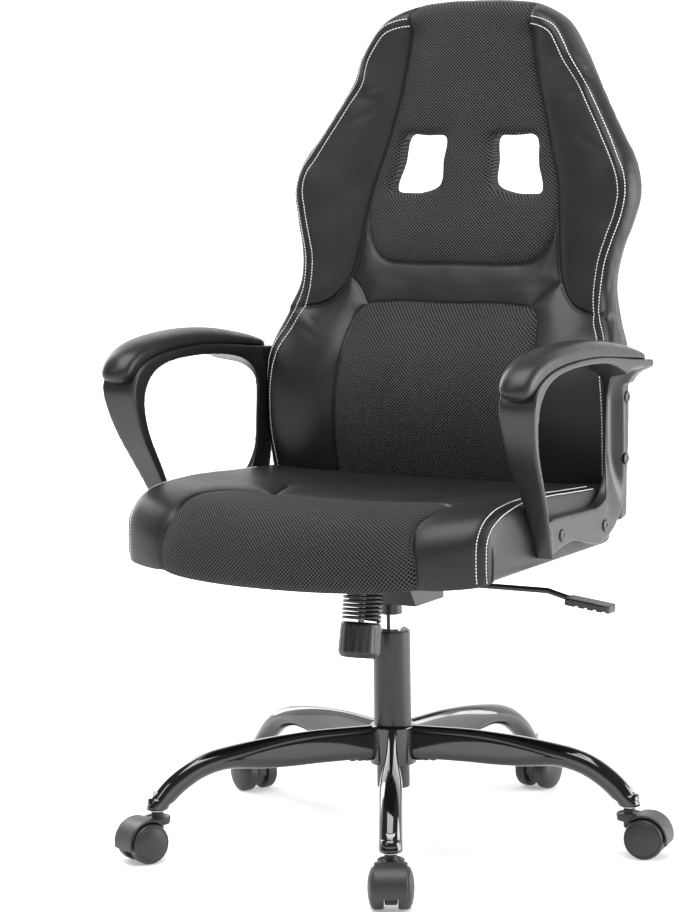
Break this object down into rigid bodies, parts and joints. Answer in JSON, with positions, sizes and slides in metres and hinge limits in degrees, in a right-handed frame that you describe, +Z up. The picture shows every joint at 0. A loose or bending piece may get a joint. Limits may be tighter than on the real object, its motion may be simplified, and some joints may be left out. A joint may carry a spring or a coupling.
{
  "type": "gaming chair",
  "caption": "High-back gaming chair with mesh and leather cushions, loop arms, tilting seat, gas lift and a five-leg steel base on hooded twin-wheel casters.",
  "frame": {"origin": "point on the floor under the swivel axis", "axes": "+Z up, the sitter faces -Y, +X is the sitter's left"},
  "size_m": [0.6867, 0.6837, 1.0466],
  "materials": {
    "cover_leather": "satin black synthetic leather with white double stitching and black mesh panels",
    "pad_leather": "satin black synthetic leather",
    "foam": "moulded foam",
    "lining": "thin black non-woven dust cover",
    "board": "plywood",
    "base_steel": "gloss black paint",
    "frame_steel": "satin black powder coat",
    "chrome": "polished",
    "zinc": "zinc plated",
    "black_plastic": "satin black nylon",
    "caster_plastic": "matte black nylon",
    "spring_steel": "black coated spring steel"
  },
  "bodies": {
    "base": {"base_hub": "base_steel", "base_leg_1": "base_steel", "base_leg_2": "base_steel", "base_leg_3": "base_steel", "base_leg_4": "base_steel", "base_leg_5": "base_steel", "caster_sockets": "base_steel", "caster_stems": "zinc", "lift_tube": "base_steel", "lift_bushing": "black_plastic", "thrust_bearing": "zinc"},
    "lift_rod": {"lift_rod": "chrome", "rod_clip": "zinc"},
    "carriage": {"lift_cylinder": "chrome", "taper_collar": "frame_steel", "mechanism_housing": "frame_steel", "taper_socket": "frame_steel", "pivot_bushes": "black_plastic", "spring_seat": "zinc", "tension_spring": "spring_steel"},
    "release_pin": {"release_pin": "zinc"},
    "lock_slider": {"lock_slider": "black_plastic", "lever_pin": "zinc"},
    "lever": {"lever_rod": "frame_steel", "lever_handle": "black_plastic"},
    "seat": {"seat_plate": "frame_steel", "pivot_pin": "zinc", "tension_bolt": "zinc", "plate_screws": "zinc", "seat_board": "board", "seat_cleats": "board", "seat_foam": "foam", "seat_cover": "cover_leather", "dust_cover": "lining", "back_board": "board", "back_cleats": "board", "back_foam": "foam", "back_cover": "cover_leather", "arm_left": "black_plastic", "arm_right": "black_plastic", "arm_pad_left": "pad_leather", "arm_pad_right": "pad_leather", "arm_bolts": "frame_steel"},
    "knob": {"tension_knob": "black_plastic"},
    "caster_1": {"caster_hood_1": "caster_plastic"},
    "wheels_1": {"caster_axle_1": "zinc", "caster_wheels_1": "caster_plastic"},
    "caster_2": {"caster_hood_2": "caster_plastic"},
    "wheels_2": {"caster_axle_2": "zinc", "caster_wheels_2": "caster_plastic"},
    "caster_3": {"caster_hood_3": "caster_plastic"},
    "wheels_3": {"caster_axle_3": "zinc", "caster_wheels_3": "caster_plastic"},
    "caster_4": {"caster_hood_4": "caster_plastic"},
    "wheels_4": {"caster_axle_4": "zinc", "caster_wheels_4": "caster_plastic"},
    "caster_5": {"caster_hood_5": "caster_plastic"},
    "wheels_5": {"caster_axle_5": "zinc", "caster_wheels_5": "caster_plastic"}
  },
  "joints": [
    {"name": "seat_swivel", "type": "hinge", "parent": "base", "child": "lift_rod", "pos_m": [0, 0, 0.07], "axis": [0, 0, 1], "continuous": true},
    {"name": "seat_height", "type": "slide", "parent": "lift_rod", "child": "carriage", "axis": [0, 0, 1], "range_m": [-0.016, 0.08]},
    {"name": "release_pin_press", "type": "slide", "parent": "carriage", "child": "release_pin", "axis": [0, 0, -1], "range_m": [0, 0.004], "stiffness_N_per_m": 300, "springref_m": -0.004},
    {"name": "tilt_lock_slide", "type": "slide", "parent": "carriage", "child": "lock_slider", "axis": [1, 0, 0], "range_m": [0, 0.015]},
    {"name": "lever_lift", "type": "hinge", "parent": "lock_slider", "child": "lever", "pos_m": [0.062, 0, 0.343], "axis": [0, -1, 0], "range_deg": [0, 3.5], "stiffness_Nm_per_rad": 3, "springref_deg": -14.32},
    {"name": "seat_tilt", "type": "hinge", "parent": "carriage", "child": "seat", "pos_m": [0, -0.03, 0.35], "axis": [-1, 0, 0], "range_deg": [0, 15], "stiffness_Nm_per_rad": 90, "springref_deg": -20.05, "deforming": ["tension_spring"]},
    {"name": "tension_knob_turn", "type": "hinge", "parent": "seat", "child": "knob", "pos_m": [0, -0.08158, 0.26663], "axis": [0, 0.1736, 0.9848], "range_deg": [0, 1440]},
    {"name": "caster_swivel_1", "type": "hinge", "parent": "base", "child": "caster_1", "pos_m": [0.14225, -0.2698, 0.05], "axis": [0, 0, 1], "continuous": true},
    {"name": "caster_roll_1", "type": "hinge", "parent": "caster_1", "child": "wheels_1", "pos_m": [0.15251, -0.28926, 0.025], "axis": [0.8846, 0.4664, 0], "continuous": true},
    {"name": "caster_swivel_2", "type": "hinge", "parent": "base", "child": "caster_2", "pos_m": [0.30055, 0.05191, 0.05], "axis": [0, 0, 1], "continuous": true},
    {"name": "caster_roll_2", "type": "hinge", "parent": "caster_2", "child": "wheels_2", "pos_m": [0.32223, 0.05566, 0.025], "axis": [-0.1702, 0.9854, 0], "continuous": true},
    {"name": "caster_swivel_3", "type": "hinge", "parent": "base", "child": "caster_3", "pos_m": [0.0435, 0.30188, 0.05], "axis": [0, 0, 1], "continuous": true},
    {"name": "caster_roll_3", "type": "hinge", "parent": "caster_3", "child": "wheels_3", "pos_m": [0.04664, 0.32366, 0.025], "axis": [-0.9898, 0.1426, 0], "continuous": true},
    {"name": "caster_swivel_4", "type": "hinge", "parent": "base", "child": "caster_4", "pos_m": [-0.27366, 0.13466, 0.05], "axis": [0, 0, 1], "continuous": true},
    {"name": "caster_roll_4", "type": "hinge", "parent": "caster_4", "child": "wheels_4", "pos_m": [-0.2934, 0.14437, 0.025], "axis": [-0.4415, -0.8973, 0], "continuous": true},
    {"name": "caster_swivel_5", "type": "hinge", "parent": "base", "child": "caster_5", "pos_m": [-0.21263, -0.21866, 0.05], "axis": [0, 0, 1], "continuous": true},
    {"name": "caster_roll_5", "type": "hinge", "parent": "caster_5", "child": "wheels_5", "pos_m": [-0.222, -0.23856, 0.025], "axis": [0.9048, -0.4258, 0], "continuous": true}
  ],
  "couplings": [
    {"joint": "release_pin_press", "follows": "lever_lift", "m_per_rad": 0.062}
  ]
}
